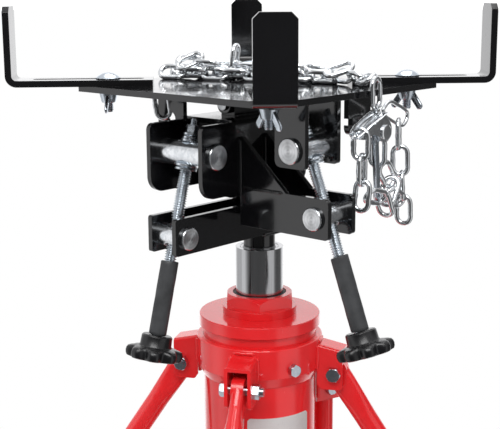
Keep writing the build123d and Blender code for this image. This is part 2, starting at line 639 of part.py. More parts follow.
def set_bolt():
    """The small hexagon bolt on the front of the collar."""
    return SET_BOLT_AT * (hexagon(12.5, 0, 0, 6) + upright(3, -4, 0.5))


def stay_fasteners():
    """The bolt and nut that hold the stay tube in its lug."""
    bolt = hexagon(13.0, 0, 15, 21) + upright(4, -26, 15)
    nut = Rot(180, 0, 0) * hexagon(13.0, 4, 15, 22)
    place = Pos(STAY_R, 0, STAY_TOP + 6) * Rot(90, 0, 0)
    return [turned(PUMP_TURN, place * piece) for piece in (bolt, nut)]


# ---------------------------------------------------------------- pump
def valve_place():
    """The frame of the release valve's stem, +Z out of the pump's side."""
    return Pos(VALVE_R, -32, VALVE_Z) * Rot(90, 0, 0)


def pump_body():
    """The pump block on the base, its barrel, and the two ears of the pedal's pivot."""
    body = block((BASE_HALF, PUMP_END), (-32, 32), (BASE_BOTTOM, PUMP_TOP))
    body = fillet(body.edges().filter_by(Axis.X), 4)
    body += upright(19, PUMP_TOP - 1, 188, (PLUNGER_AT_R, 0))
    ear = outline_of((PEDAL_AXIS_R - 14, PUMP_TOP - 1), (PEDAL_AXIS_R + 18, PUMP_TOP - 1),
                     (PEDAL_AXIS_R + 10, PEDAL_AXIS_Z), (PEDAL_AXIS_R - 10, PEDAL_AXIS_Z))
    ear += Pos(PEDAL_AXIS_R, PEDAL_AXIS_Z) * Circle(10)
    body += plate_xz(ear, 18, 6) + plate_xz(ear, -24, 6)
    body -= upright(PLUNGER_R + RUNNING_GAP, 128, 200, (PLUNGER_AT_R, 0))
    pin = Pos(PEDAL_AXIS_R, 0, PEDAL_AXIS_Z) * Rot(90, 0, 0) * Cylinder(5, 54)
    return [body - pin - valve_place() * upright(6 + RUNNING_GAP, -15, 5), pin]


def pump_plunger():
    """The plunger with its domed button, under the pedal."""
    top = PEDAL_AXIS_Z - 12.5
    at = (PLUNGER_AT_R, 0)
    button = (Pos(*at, top - 16) * Sphere(16)) & upright(14, top - 16, top, at)
    return button + upright(PLUNGER_R, PUMP_TOP, top - 15, at)


def foot_pedal():
    """A bent flat arm from the pivot over the plunger to a ribbed foot pad."""
    bend = PLUNGER_AT_R + 16
    arm = outline_of((PEDAL_AXIS_R - 14, PEDAL_AXIS_Z - 12), (bend, PEDAL_AXIS_Z - 12), (304, 200),
                     (304, 208), (bend, PEDAL_AXIS_Z + 2), (PEDAL_AXIS_R, PEDAL_AXIS_Z + 12),
                     (PEDAL_AXIS_R - 12, PEDAL_AXIS_Z + 8))
    pad = block((300, 366), (-38, 38), (199, 208))
    pedal = plate_xz(arm, -15, 30) + fillet(pad.edges().filter_by(Axis.Z), 10)
    for k in range(5):
        pedal += block((310 + 10 * k, 314 + 10 * k), (-32, 32), (207, 210.5))
    hole = Pos(PEDAL_AXIS_R, 0, PEDAL_AXIS_Z) * Rot(90, 0, 0) * Cylinder(5 + RUNNING_GAP, 80)
    return pedal - hole


def release_lever():
    """The release valve's stem with its small foot lever."""
    arm = Circle(10) + Pos(30, 0) * Rectangle(60, 10) + Pos(60, 0) * Circle(9)
    return valve_place() * (upright(6, -14, 14) + Pos(0, 0, 13) * extrude(arm, 5))


def stay_tube():
    """The upright tube between the pump and the collar."""
    tube = ring(STAY_TUBE_R, STAY_TUBE_R - 2.5, PUMP_TOP, STAY_TOP + 18, (STAY_R, 0))
    return tube - stay_bolt_hole()


# ---------------------------------------------------------------- casters, built around the swivel axis
def caster_plate():
    """The leg's top plate and the fixed race of the swivel, at a leg's end."""
    plate = block((CASTER_R - 30, CASTER_R + 30), (-30, 30), (LEG_BOTTOM - 4, LEG_BOTTOM))
    plate = fillet(plate.edges().filter_by(Axis.Z), 5)
    race = Pos(CASTER_R, 0, LEG_BOTTOM - 7.5) * Cone(20, 24, 7)
    return plate + race + upright(5, LEG_BOTTOM - 26, LEG_BOTTOM - 4, (CASTER_R, 0))


def caster_fork():
    """A pressed fork: a round crown over two legs, with its axle and end nuts."""
    crown_top = LEG_BOTTOM - 11.5
    crown = upright(23, crown_top - 4, crown_top)
    leg = outline_of((-17, crown_top - 3), (17, crown_top - 3), (CASTER_TRAIL + 10, WHEEL_R - 6),
                  (CASTER_TRAIL - 10, WHEEL_R - 6))
    leg += Pos(CASTER_TRAIL, WHEEL_R) * Circle(11)
    inner = WHEEL_W / 2 + 2.5
    fork = crown + plate_xz(leg, inner, 3) + plate_xz(leg, -inner - 3, 3)
    fork += block((-17, 17), (-inner - 3, inner + 3), (crown_top - 5, crown_top - 2))
    fork -= upright(5 + RUNNING_GAP, crown_top - 20, crown_top + 1)
    axle = Pos(CASTER_TRAIL, 0, WHEEL_R) * Rot(90, 0, 0) * Cylinder(AXLE_R, WHEEL_W + 24)
    ends = [Pos(CASTER_TRAIL, 0, WHEEL_R) * Rot(90 * s, 0, 0)
            * hexagon(13, AXLE_R, inner + 3, inner + 9) for s in (-1, 1)]
    return [fork - axle, axle] + ends


def caster_wheel():
    """A tyre and hub, turned about the axle."""
    tyre = Cylinder(WHEEL_R, WHEEL_W)
    tyre = fillet(tyre.edges(), 5)
    tyre -= Cylinder(26, WHEEL_W + 2)
    hub = Cylinder(26, WHEEL_W - 4)
    for side in (-1, 1):
        hub -= Pos(0, 0, side * (WHEEL_W / 2 - 2)) * (Cylinder(21, 10) - Cylinder(10, 12))
    hub += Cylinder(9, WHEEL_W + 3)
    hub -= Cylinder(AXLE_R + RUNNING_GAP, WHEEL_W + 10)
    return [Pos(CASTER_TRAIL, 0, WHEEL_R) * Rot(90, 0, 0) * piece for piece in (tyre, hub)]


def at_caster(k, shape):
    """Moves a piece built around the swivel axis to leg k, trailing sideways."""
    return turned(BASE_TURN + 90 * k, Pos(CASTER_R, 0, 0) * Rot(0, 0, 90) * shape)


# ---------------------------------------------------------------- write every node
os.makedirs("parts", exist_ok=True)

save("saddle_plate", saddle_plate())
save("saddle_lugs", *trunnion_lugs(), *hinge_lugs())
save("chain_anchors", *chain_anchors())
save("bracket_bolts", *[bracket_bolt(turn) for turn, _ in CORNERS.values()])
save("chain_heap", chain_heap())
WING_TURN = {"front_left": -52.0, "front_right": -11.0, "rear_right": 5.0, "rear_left": 20.0}
for corner, (turn, reach) in CORNERS.items():
    save(f"bracket_{corner}", bracket(turn, reach))
    save(f"wing_nut_{corner}", wing_nut(turn, WING_TURN[corner]))

save("binder_body", binder_body())
save("binder_lever", binder_lever())
save("chain_strands", *chain_strands())

save("cradle_channel", cradle_channel())
save("cradle_arms", cradle_doubler(), *cradle_arms())
save("cradle_hinge_barrel", hinge_barrel())
save("saddle_hinge_pin", rod(HINGE_PIN_R, (0, -59, HINGE_AXIS_Z), (0, 39, HINGE_AXIS_Z)))

save("yoke_side_plates", yoke_side(YOKE_W / 2 - SHEET_T), yoke_side(-YOKE_W / 2))
save("yoke_post", yoke_post())
save("tilt_pivot_pin", *tilt_pivot_pin())

for name, upper, lower, axis, widths in (
        ("front", FRONT_UPPER, FRONT_LOWER, (1, 0, 0), (CHANNEL_W, YOKE_W)),
        ("side", SIDE_UPPER, SIDE_LOWER, (0, 1, 0), (LUG_W, SIDE_ARM_W))):
    half_upper, half_lower = [width / 2 + TRUNNION_PROUD for width in widths]
    save(f"{name}_upper_trunnion", trunnion(upper, lower, upper, axis, UPPER_TRUNNION_R, half_upper,
                                            SCREW_R + RUNNING_GAP, True))
    save(f"{name}_lower_trunnion", trunnion(upper, lower, lower, axis, LOWER_TRUNNION_R, half_lower,
                                            OPEN_HOLE_R, False))
    save(f"{name}_tilt_screw", *screw_rod(upper, lower))
    save(f"{name}_screw_sleeve", screw_sleeve(upper, lower))
    save(f"{name}_screw_knob", screw_knob(upper, lower))

save("ram_outer_stage", *ram_outer_stage())
save("ram_inner_stage", ram_inner_stage())
save("wiper_seal", ring(RAM_OUTER_R + 3.5, RAM_OUTER_R + RUNNING_GAP, GLAND_NUT_TOP - 9, GLAND_NUT_TOP - 1))
save("gland_nut", gland_nut())
save("top_cap", top_cap())
save("collar_ring", collar_ring())
save("brace_clevises", *around_base(clevis()), turned(PUMP_TURN, stay_lug()))
save("reservoir_tube", ring(RESERVOIR_R, RESERVOIR_R - RESERVOIR_WALL, BASE_TOP, COLLAR_TOP - 6))
save("pressure_cylinder", ring(CYLINDER_R, CYLINDER_BORE_R, BASE_TOP - 20, COLLAR_TOP - 20))

save("base_block", base_block())
save("base_legs", *around_base(base_leg()))
save("leg_braces", *around_base(brace()))
GRIPS = ((BRACE_TOP_R, BRACE_TOP_Z, CLEVIS_W / 2), (BRACE_FOOT_R, BRACE_FOOT_Z, BRACE_FLAT_T / 2 + 5.5))
fasteners = [around_base(piece) for grip in GRIPS for piece in cross_bolt(*grip)]
save("brace_fasteners", *[piece for group in fasteners for piece in group], set_bolt(), *stay_fasteners())
save("stay_tube", turned(PUMP_TURN, stay_tube()))
for node, shapes in (("pump_body", pump_body()), ("pump_plunger", [pump_plunger()]),
                     ("foot_pedal", [foot_pedal()]), ("release_lever", [release_lever()])):
    save(node, *[turned(PUMP_TURN, shape) for shape in shapes])

save("caster_plates", *around_base(caster_plate()))
for k, leg_name in enumerate(LEG_NAMES):
    save(f"caster_fork_{leg_name}", *[at_caster(k, shape) for shape in caster_fork()])
    save(f"caster_wheel_{leg_name}", *[at_caster(k, shape) for shape in caster_wheel()])
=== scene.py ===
import bmesh
import bpy
import json
from math import atan2, cos, pi, radians, sin, sqrt, tan
from mathutils import Matrix, Vector, noise
from random import Random


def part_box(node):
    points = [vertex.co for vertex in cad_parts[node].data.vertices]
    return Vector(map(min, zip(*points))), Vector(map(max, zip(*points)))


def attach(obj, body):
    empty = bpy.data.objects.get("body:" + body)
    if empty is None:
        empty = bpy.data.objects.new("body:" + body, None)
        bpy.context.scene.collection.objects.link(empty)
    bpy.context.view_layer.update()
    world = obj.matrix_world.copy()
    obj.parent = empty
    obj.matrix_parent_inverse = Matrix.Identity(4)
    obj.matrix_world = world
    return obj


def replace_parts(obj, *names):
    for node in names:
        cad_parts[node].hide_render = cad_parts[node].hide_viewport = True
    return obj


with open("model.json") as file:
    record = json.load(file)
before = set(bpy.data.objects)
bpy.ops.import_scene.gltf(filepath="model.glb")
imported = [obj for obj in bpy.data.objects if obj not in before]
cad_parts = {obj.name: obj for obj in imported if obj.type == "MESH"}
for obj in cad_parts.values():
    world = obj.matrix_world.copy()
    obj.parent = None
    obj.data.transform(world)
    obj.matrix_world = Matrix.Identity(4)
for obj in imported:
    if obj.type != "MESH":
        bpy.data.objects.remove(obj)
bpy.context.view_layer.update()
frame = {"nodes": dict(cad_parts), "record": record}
MM = 0.001
UP = Vector((0, 0, 1))
SADDLE_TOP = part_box("saddle_plate")[1].z
PLATE_T = SADDLE_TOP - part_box("saddle_plate")[0].z
STRAP_T = 7.0 * MM


def joint(name):
    """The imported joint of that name."""
    return next(j for j in frame["record"]["behaviour"]["joints"] if j["name"] == name)


# ---------------------------------------------------------------- meshes from rings and paths
class Shape:
    """Vertices and faces gathered from several closed surfaces."""

    def __init__(self):
        self.verts = []
        self.faces = []

    def add(self, surface, place=Matrix()):
        start = len(self.verts)
        verts, faces = surface
        self.verts += [place @ Vector(v) for v in verts]
        self.faces += [tuple(start + i for i in face) for face in faces]
        return self

    def build(self, name, material, body, sharp=40):
        """Makes the object, shades it smooth up to an angle, and hangs it on its body."""
        mesh = bpy.data.meshes.new(name)
        mesh.from_pydata([tuple(v) for v in self.verts], [], self.faces)
        work = bmesh.new()
        work.from_mesh(mesh)
        bmesh.ops.recalc_face_normals(work, faces=work.faces)
        work.to_mesh(mesh)
        work.free()
        for face in mesh.polygons:
            face.use_smooth = True
        mesh.set_sharp_from_angle(angle=radians(sharp))
        mesh.materials.append(material)
        piece = bpy.data.objects.new(name, mesh)
        bpy.context.scene.collection.objects.link(piece)
        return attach(piece, body)


def loft(rings, loop=False):
    """A closed surface through rings of equal length: a torus if loop, otherwise capped at both ends."""
    n, count = len(rings[0]), len(rings)
    verts = [v for ring in rings for v in ring]
    faces = []
    for i in range(count if loop else count - 1):
        a, b = i * n, (i + 1) % count * n
        faces += [(a + j, a + (j + 1) % n, b + (j + 1) % n, b + j) for j in range(n)]
    if not loop:
        faces.append(tuple(range(n)))
        faces.append(tuple((count - 1) * n + j for j in range(n)))
    return verts, faces


def circle(r, z, n, radius_at=None):
    """A ring of points about Z; radius_at(angle) scales it."""
    angles = [2 * pi * j / n for j in range(n)]
    return [Vector((r * (radius_at(a) if radius_at else 1) * cos(a),
                    r * (radius_at(a) if radius_at else 1) * sin(a), z)) for a in angles]


def lathe(profile, n=48, bored=False):
    """A turned solid from (radius, height) pairs; a bored one has a closed profile."""
    return loft([circle(r, z, n) for r, z in profile], loop=bored)


def sweep(path, radius, sides=10, loop=False, flat=1.0):
    """A bar along a path; radius may be a function of the step, and flat squeezes its section."""
    points = [Vector(p) for p in path]
    count = len(points)
    rings, normal = [], None
    for i, point in enumerate(points):
        ahead = points[(i + 1) % count] if loop or i < count - 1 else point
        behind = points[i - 1] if loop or i > 0 else point
        tangent = (ahead - behind).normalized()
        if normal is None:
            normal = tangent.orthogonal().normalized()
        normal = (normal - tangent * normal.dot(tangent)).normalized()
        side = tangent.cross(normal)
        r = radius(i) if callable(radius) else radius
        angles = [2 * pi * j / sides for j in range(sides)]
        rings.append([point + normal * (r * cos(a)) + side * (r * flat * sin(a)) for a in angles])
    return loft(rings, loop=loop)


def axis_frame(origin, direction, hint=UP):
    """A matrix whose Z runs along a direction from an origin."""
    z = Vector(direction).normalized()
    x = Vector(hint).cross(z)
    x = x.normalized() if x.length > 0.01 else z.orthogonal().normalized()
    return Matrix.Translation(origin) @ Matrix((x, z.cross(x), z)).transposed().to_4x4()


def slab(outline, thickness, bevel):
    """A flat plate cut to an outline in XY, standing on z = 0, its long edges rounded."""
    work = bmesh.new()
    face = work.faces.new([work.verts.new((x, y, 0)) for x, y in outline])
    lifted = bmesh.ops.extrude_face_region(work, geom=[face])["geom"]
    lifted = [v for v in lifted if isinstance(v, bmesh.types.BMVert)]
    bmesh.ops.translate(work, vec=(0, 0, thickness), verts=lifted)
    rims = [e for e in work.edges if abs(e.verts[0].co.z - e.verts[1].co.z) < thickness / 2]
    bmesh.ops.bevel(work, geom=rims, offset=bevel, segments=2, affect="EDGES", profile=0.6)
    work.verts.index_update()
    surface = [v.co.copy() for v in work.verts], [[v.index for v in f.verts] for f in work.faces]
    work.free()
    return surface


def smooth_path(points, step=2 * MM):
    """Closely spaced points on a curve through some points."""
    points = [Vector(p) for p in points]
    ends = [2 * points[0] - points[1]] + points + [2 * points[-1] - points[-2]]
    out = []
    for a, b, c, d in zip(ends, ends[1:], ends[2:], ends[3:]):
        steps = max(2, int((c - b).length / step))
        for k in range(steps):
            t = k / steps
            out.append(0.5 * (2 * b + (c - a) * t + (2 * a - 5 * b + 4 * c - d) * t ** 2
                              + (3 * b - a - 3 * c + d) * t ** 3))
    return out + [points[-1]]


def spaced(path, pitch):
    """Points of a path a fixed straight distance apart."""
    out = [path[0]]
    for point in path:
        if (point - out[-1]).length >= pitch:
            out.append(point)
    return out


# ---------------------------------------------------------------- materials
class Nodes:
    """One material's node tree, filled by short calls."""

    def __init__(self, name):
        self.material = bpy.data.materials.new(name)
        self.material.use_nodes = True
        self.tree = self.material.node_tree
        self.tree.nodes.clear()
        self.coords = self.add("TexCoord").outputs["Object"]

    def add(self, kind, props=None, **inputs):
        """A node; input names are given with _ for each space."""
        node = self.tree.nodes.new("ShaderNode" + kind)
        for key, value in (props or {}).items():
            setattr(node, key, value)
        for key, value in inputs.items():
            socket = node.inputs[key.replace("_", " ")]
            if isinstance(value, bpy.types.NodeSocket):
                self.tree.links.new(value, socket)
            elif isinstance(value, tuple) and len(value) == 3 and socket.type == "RGBA":
                socket.default_value = (*value, 1)
            else:
                socket.default_value = value
        return node

    def noise(self, scale, detail=4.0, rough=0.5, coords=None):
        node = self.add("TexNoise", Vector=coords or self.coords, Scale=scale, Detail=detail,
                        Roughness=rough)
        return node.outputs["Fac"]

    def stretched(self, x, y, z):
        """Coordinates scaled apart, so that a texture runs along one axis."""
        return self.add("Mapping", Vector=self.coords, Scale=(x, y, z)).outputs["Vector"]

    def ramp(self, value, low, high, to_low=0.0, to_high=1.0):
        node = self.add("MapRange", Value=value, From_Min=low, From_Max=high, To_Min=to_low,
                        To_Max=to_high)
        return node.outputs["Result"]

    def math(self, operation, a, b=0.5):
        node = self.tree.nodes.new("ShaderNodeMath")
        node.operation = operation
        for socket, value in zip(node.inputs, (a, b)):
            if isinstance(value, bpy.types.NodeSocket):
                self.tree.links.new(value, socket)
            else:
                socket.default_value = value
        return node.outputs[0]

    def mix(self, factor, first, second):
        return self.add("MixRGB", Fac=factor, Color1=first, Color2=second).outputs["Color"]

    def soft_normal(self, radius):
        return self.add("Bevel", {"samples": 6}, Radius=radius).outputs["Normal"]

    def edge_mask(self, radius, low=0.02, high=0.25):
        """White along outer and inner edges, black on flats."""
        soft = self.soft_normal(radius)
        true = self.add("NewGeometry").outputs["Normal"]
        dot = self.add("VectorMath", {"operation": "DOT_PRODUCT"})
        self.tree.links.new(soft, dot.inputs[0])
        self.tree.links.new(true, dot.inputs[1])
        return self.ramp(self.math("SUBTRACT", 1.0, dot.outputs["Value"]), low, high)

    def facing_up(self):
        """White on surfaces that face up."""
        normal = self.add("NewGeometry").outputs["Normal"]
        z = self.add("SeparateXYZ", Vector=normal).outputs["Z"]
        return self.ramp(z, 0.5, 0.95)

    def bump(self, height, strength, distance, normal=None):
        node = self.add("Bump", Height=height, Strength=strength, Distance=distance)
        if normal is not None:
            self.tree.links.new(normal, node.inputs["Normal"])
        return node.outputs["Normal"]

    def finish(self, **inputs):
        shader = self.add("BsdfPrincipled", **inputs)
        out = self.add("OutputMaterial")
        self.tree.links.new(shader.outputs["BSDF"], out.inputs["Surface"])
        return self.material


def gloss_paint(name, colour, deep, under, roughness, edge=0.8 * MM):
    """Sprayed enamel: slow colour drift, fine orange peel, dust on top faces, chips on edges."""
    m = Nodes(name)
    drift = m.ramp(m.noise(9, 3), 0.35, 0.65)
    base = m.mix(drift, colour, deep)
    chips = m.math("MULTIPLY", m.edge_mask(edge), m.ramp(m.noise(160, 6, 0.65), 0.56, 0.64))
    dust = m.math("MULTIPLY", m.facing_up(), m.ramp(m.noise(1400, 2), 0.66, 0.76, 0, 0.35))
    base = m.mix(dust, base, (0.55, 0.52, 0.5))
    base = m.mix(chips, base, under)
    rough = m.ramp(m.noise(34, 5, 0.6), 0.3, 0.75, roughness * 0.6, roughness * 1.7)
    rough = m.math("ADD", rough, m.math("MULTIPLY", chips, 0.35))
    scuffs = m.noise(1, 4, 0.6, m.stretched(30, 300, 60))
    rough = m.math("ADD", rough, m.ramp(scuffs, 0.62, 0.8, 0, 0.18))
    normal = m.bump(m.noise(300, 2), 0.05, 0.2 * MM, m.soft_normal(0.7 * MM))
    normal = m.bump(chips, 0.4, -0.1 * MM, normal)
    return m.finish(Base_Color=base, Roughness=rough, Normal=normal, Coat_Weight=0.4,
                    Coat_Roughness=0.06)


def zinc_plate(name, tint=(0.62, 0.68, 0.75), roughness=0.2, edge=0.35 * MM):
    """Bright zinc plating with a bluish cast, faint crystals and small stains."""
    m = Nodes(name)
    cells = m.add("TexVoronoi", Vector=m.coords, Scale=520.0).outputs["Color"]
    grey = m.add("SeparateXYZ", Vector=cells).outputs["X"]
    dark = tuple(c * 0.72 for c in tint)
    base = m.mix(m.ramp(m.noise(60, 5), 0.35, 0.7), tint, dark)
    base = m.mix(m.math("MULTIPLY", grey, 0.22), base, (0.85, 0.88, 0.9))
    stain = m.ramp(m.noise(240, 7, 0.7), 0.62, 0.72, 0, 0.5)
    base = m.mix(stain, base, (0.3, 0.29, 0.28))
    rough = m.ramp(m.noise(110, 4), 0.3, 0.7, roughness * 0.6, roughness * 1.5)
    normal = m.bump(m.noise(900, 3), 0.1, 0.12 * MM, m.soft_normal(edge))
    return m.finish(Base_Color=base, Metallic=1.0, Roughness=rough, Normal=normal)


def turned_bar(name, centre, axis, ring_pitch):
    """Bare bar: mottled along its side; its faced ends have faint rings and a spoke-like sheen."""
    m = Nodes(name)
    local = m.add("Mapping", Vector=m.coords, Location=tuple(-c for c in centre)).outputs["Vector"]
    rings = m.add("TexWave", {"wave_type": "RINGS", "rings_direction": axis}, Vector=local,
                  Scale=0.05 / ring_pitch, Distortion=0.3, Detail=2.0, Detail_Scale=1.0)
    rings = rings.outputs["Fac"]
    along = m.add("SeparateXYZ", Vector=m.add("NewGeometry").outputs["True Normal"]).outputs[axis]
    faced = m.ramp(m.math("ABSOLUTE", along), 0.9, 0.95)
    side = m.mix(m.ramp(m.noise(240, 3), 0.4, 0.62), (0.72, 0.75, 0.78), (0.86, 0.88, 0.9))
    end = m.mix(rings, (0.72, 0.73, 0.74), (0.62, 0.63, 0.64))
    end = m.mix(m.ramp(m.noise(60, 4), 0.45, 0.75, 0, 0.5), end, (0.5, 0.52, 0.54))
    rough_side = m.ramp(m.noise(160, 4), 0.35, 0.65, 0.16, 0.26)
    rough_end = m.ramp(m.noise(200, 3), 0.3, 0.7, 0.3, 0.4)
    normal = m.bump(m.math("MULTIPLY", rings, faced), 0.06, 0.03 * MM, m.soft_normal(0.5 * MM))
    normal = m.bump(m.noise(160, 2), 0.05, 0.05 * MM, normal)
    spin = m.add("Tangent", {"direction_type": "RADIAL", "axis": axis}).outputs["Tangent"]
    return m.finish(Base_Color=m.mix(faced, side, end), Metallic=1.0, Normal=normal, Tangent=spin,
                    Roughness=m.mix(faced, rough_side, rough_end),
                    Anisotropic=m.math("MULTIPLY", faced, 0.8))


def ground_chrome(name):
    """A ground and chromed ram: very fine lines round it and a few faint drag marks along it."""
    m = Nodes(name)
    lines = m.noise(1, 5, 0.7, m.stretched(60, 60, 4200))
    drags = m.noise(1, 3, 0.6, m.stretched(700, 700, 9))
    base = m.mix(m.ramp(drags, 0.45, 0.72, 0, 0.6), (0.5, 0.505, 0.515), (0.36, 0.365, 0.375))
    rough = m.ramp(lines, 0.3, 0.7, 0.1, 0.24)
    normal = m.bump(lines, 0.12, 0.04 * MM, m.soft_normal(0.6 * MM))
    return m.finish(Base_Color=base, Metallic=1.0, Roughness=rough, Normal=normal)


def moulded(name, colour, roughness, grain, depth, worn=(0.16, 0.16, 0.16)):
    """Rubber or moulded plastic: matte, grained, a little grey where it is rubbed."""
    m = Nodes(name)
    base = m.mix(m.ramp(m.noise(45, 5), 0.35, 0.7), colour, tuple(c * 0.55 for c in colour))
    rubbed = m.math("MULTIPLY", m.edge_mask(1.2 * MM), m.ramp(m.noise(260, 5), 0.45, 0.6, 0, 0.6))
    base = m.mix(rubbed, base, worn)
    dust = m.math("MULTIPLY", m.facing_up(), m.ramp(m.noise(700, 3), 0.55, 0.75, 0, 0.3))
    base = m.mix(dust, base, (0.4, 0.39, 0.37))
    rough = m.ramp(m.noise(90, 4), 0.3, 0.7, roughness * 0.8, min(1.0, roughness * 1.2))
    normal = m.bump(m.noise(grain, 4, 0.6), 0.5, depth, m.soft_normal(0.8 * MM))
    return m.finish(Base_Color=base, Roughness=rough, Normal=normal)


def sticker(name):
    """A blank printed label: pale grey film with a soft sheen and small darker specks."""
    m = Nodes(name)
    base = m.mix(m.ramp(m.noise(25, 4), 0.3, 0.7), (0.62, 0.6, 0.59), (0.52, 0.5, 0.49))
    base = m.mix(m.ramp(m.noise(600, 6), 0.6, 0.72, 0, 0.25), base, (0.35, 0.33, 0.32))
    rough = m.ramp(m.noise(80, 3), 0.3, 0.7, 0.28, 0.42)
    return m.finish(Base_Color=base, Roughness=rough, Normal=m.bump(m.noise(300, 2), 0.1, 0.1 * MM))


def pale_floor(name):
    """Pale matte card near the jack, lost in white light further out."""
    m = Nodes(name)
    base = m.mix(m.ramp(m.noise(3, 6), 0.3, 0.7), (0.8, 0.8, 0.8), (0.75, 0.75, 0.755))
    rough = m.ramp(m.noise(14, 4), 0.3, 0.7, 0.5, 0.65)
    grain = m.bump(m.noise(200, 3), 0.05, 0.3 * MM)
    card = m.add("BsdfPrincipled", Base_Color=base, Roughness=rough, Normal=grain)
    flat = m.add("Mapping", Vector=m.coords, Scale=(1.0, 1.0, 0.0)).outputs["Vector"]
    distance = m.add("VectorMath", {"operation": "LENGTH"})
    m.tree.links.new(flat, distance.inputs[0])
    far = m.add("MapRange", {"interpolation_type": "SMOOTHERSTEP"}, Value=distance.outputs["Value"],
                From_Min=0.6, From_Max=1.25).outputs["Result"]
    seen = m.math("MULTIPLY", far, m.add("LightPath").outputs["Is Camera Ray"])
    glow = m.add("Emission", Color=(1.0, 1.0, 1.0), Strength=1.0)
    mix = m.add("MixShader", Fac=seen)
    m.tree.links.new(card.outputs["BSDF"], mix.inputs[1])
    m.tree.links.new(glow.outputs["Emission"], mix.inputs[2])
    out = m.add("OutputMaterial")
    m.tree.links.new(mix.outputs["Shader"], out.inputs["Surface"])
    return m.material


BLACK = gloss_paint("black_enamel", (0.003, 0.003, 0.0035), (0.005, 0.005, 0.006),
                    (0.07, 0.07, 0.07), 0.1)
RED = gloss_paint("red_enamel", (0.82, 0.02, 0.024), (0.74, 0.013, 0.016), (0.3, 0.05, 0.045), 0.16)
ZINC = zinc_plate("zinc_bright")
CHAIN_ZINC = zinc_plate("zinc_chain", (0.86, 0.88, 0.9), 0.13)
THREAD_ZINC = zinc_plate("zinc_thread", (0.7, 0.76, 0.82), 0.22, 0.05 * MM)
CHROME = ground_chrome("ground_chrome")
RUBBER = moulded("sleeve_rubber", (0.045, 0.047, 0.05), 0.62, 900, 0.12 * MM)
PLASTIC = moulded("knob_plastic", (0.006, 0.006, 0.007), 0.3, 1100, 0.05 * MM, (0.08, 0.08, 0.08))
TYRE = moulded("wheel_tread", (0.05, 0.05, 0.052), 0.75, 700, 0.15 * MM)
STICKER = sticker("blank_label")
BY_SLOT = {"black_paint": BLACK, "red_paint": RED, "zinc": ZINC, "ram_chrome": CHROME,
           "sleeve_rubber": RUBBER, "knob_plastic": PLASTIC, "wheel_tread": TYRE}


def dress_cad_nodes():
    """Every CAD node takes its slot's full material; the bare steel bars get their own rings."""
    slots = {part["node"]: part["material_slot"] for part in frame["record"]["subparts"]}
    for node, obj in frame["nodes"].items():
        low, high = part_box(node)
        if slots[node] in BY_SLOT:
            material = BY_SLOT[slots[node]]
        else:
            size = high - low
            axis = "X" if size.x > size.y else "Y"
            material = turned_bar("turned_" + node, (low + high) / 2, axis, 0.55 * MM)
        for entry in obj.material_slots:
            entry.material = material
        if not obj.material_slots:
            obj.data.materials.append(material)


dress_cad_nodes()


# ---------------------------------------------------------------- fasteners
def hex_nut(flats, height, bore, n=96, both=False):
    """A hexagon nut whose corners are turned off, so each flat ends in an arc."""
    face_r = flats / 2 * 0.97

    def outer(a):
        turn = (a + pi / 6) % (pi / 3) - pi / 6
        return flats / 2 / cos(turn)

    def ring(z_flat, sign):
        points = []
        for j in range(n):
            a = 2 * pi * j / n
            r = outer(a)
            drop = max(0.0, r - face_r) * tan(radians(30)) * sign
            points.append(Vector((r * cos(a), r * sin(a), z_flat - drop)))
        return points

    low_sign = -1 if both else 0
    rings = [circle(bore, 0, n), circle(face_r, 0, n), ring(0, low_sign), ring(height, 1),
             circle(face_r, height, n), circle(bore + 0.6 * MM, height, n),
             circle(bore, height - 0.6 * MM, n)]
    return loft(rings, loop=True)


def washer(outer, inner, height, crown=0.35 * MM):
    """A flat ring with its outer edges just broken, from Z = 0 up."""
    profile = [(inner, 0), (outer - crown, 0), (outer, crown), (outer, height - crown),
               (outer - crown, height), (inner, height)]
    return lathe(profile, 48, bored=True)


def threaded_rod(radius, start, end, pitch, depth, n=24, per_turn=10):
    """A rod with a real single-start thread between start and end."""
    steps = int((end - start) / pitch * per_turn)
    rings = [circle(radius - 1.6 * depth, start, n)]
    for i in range(steps + 1):
        z = start + (end - start) * i / steps
        fade = min(1.0, (z - start) / pitch, (end - z) / pitch)
        ring = []
        for j in range(n):
            a = 2 * pi * j / n
            phase = (z / pitch - j / n) % 1.0
            rise = min(1.0, max(0.0, (0.33 - abs(phase - 0.5)) / 0.15))
            r = radius - depth * (1 - rise * fade)
            ring.append(Vector((r * cos(a), r * sin(a), z)))
        rings.append(ring)
    rings.append(circle(radius - 1.6 * depth, end, n))
    return loft(rings)


# ---------------------------------------------------------------- corner bolts and wing nuts
WING_TURN = {"front_left": -52, "front_right": -11, "rear_right": 5, "rear_left": 20}
BOLT_R = 5.0 * MM
BOLT_PITCH = 1.9 * MM


def corner_point(name):
    """Where that corner's bolt stands in plan."""
    x, y, _ = joint(f"{name}_nut_turn")["pos_m"]
    return Vector((x, y, 0))


def carriage_bolts():
    """Domed heads on the bracket arms, and threads down through the slots and the plate."""
    dome_r, rise, seat = 13.3 * MM, 5.9 * MM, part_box("bracket_front_left")[0].z + STRAP_T + 0.1 * MM
    ball = (dome_r ** 2 + rise ** 2) / (2 * rise)
    profile = [(dome_r - 0.5 * MM, seat), (dome_r, seat + 0.4 * MM), (dome_r, seat + 0.9 * MM)]
    for k in range(1, 11):
        angle = (1 - k / 10.5) * atan2(dome_r, ball - rise)
        profile.append((ball * sin(angle), seat + 0.9 * MM + ball * cos(angle) - (ball - rise)))
    bolts = Shape()
    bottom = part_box("bracket_bolts")[0].z
    for name in WING_TURN:
        place = Matrix.Translation(corner_point(name))
        bolts.add(lathe(profile, 56), place)
        bolts.add(threaded_rod(BOLT_R, bottom, seat + 0.2 * MM, BOLT_PITCH, 0.9 * MM), place)
    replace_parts(bolts.build("corner_bolts", ZINC, "saddle"), "bracket_bolts")


def squared(value):
    """Pushes a circle's cosine or sine outwards, for a section between a circle and a square."""
    return (1 if value > 0 else -1) * abs(value) ** 0.62


